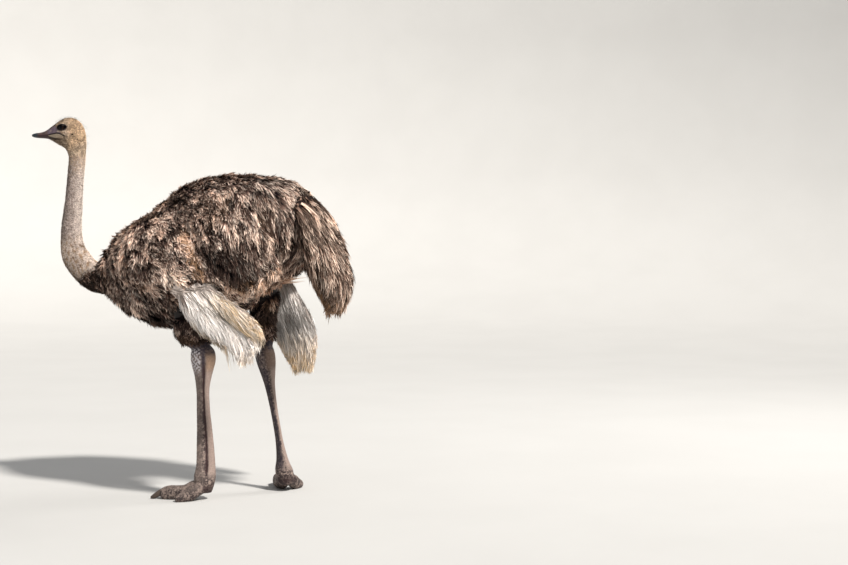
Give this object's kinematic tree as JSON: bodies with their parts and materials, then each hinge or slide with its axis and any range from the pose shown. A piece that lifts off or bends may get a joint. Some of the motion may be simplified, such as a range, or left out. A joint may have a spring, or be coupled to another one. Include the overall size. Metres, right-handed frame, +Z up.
{
  "type": "ostrich",
  "caption": "Life-size standing ostrich hen with a long curved neck, a domed feathered body, lowered wings with pale plumes, a drooping tail and bare legs with clawed feet.",
  "frame": {"origin": "middle of the bird's box in plan, at the level of its soles", "axes": "-Y is the way the body faces, +X is the bird's left, +Z is up"},
  "size_m": [0.7138, 1.47, 1.6156],
  "materials": {
    "plumage": "grey-brown feathers with pale tips, matt",
    "white_plumes": "loose white plumes, tan at the tips",
    "neck_down": "short pale down over pinkish skin",
    "leg_skin": "bare taupe skin, scaled on the shank and toes",
    "bill_horn": "smooth horn, darker at the tip",
    "claw_horn": "dark horn",
    "eye": "wet, dark brown"
  },
  "bodies": {
    "root": {"head": "neck_down", "bill_upper": "bill_horn", "bill_lower": "bill_horn", "left_eye": "eye", "right_eye": "eye", "neck_upper": "neck_down", "neck_middle": "neck_down", "neck_lower": "neck_down", "trunk": "plumage", "left_wing": "plumage", "right_wing": "plumage", "left_flank_plumes": "plumage", "right_flank_plumes": "plumage", "left_wing_plumes": "white_plumes", "right_wing_plumes": "white_plumes", "tail": "plumage", "left_thigh": "leg_skin", "right_thigh": "leg_skin", "left_shank": "leg_skin", "right_shank": "leg_skin", "left_big_toe": "leg_skin", "right_big_toe": "leg_skin", "left_outer_toe": "leg_skin", "right_outer_toe": "leg_skin", "left_claw": "claw_horn", "right_claw": "claw_horn"}
  },
  "joints": []
}
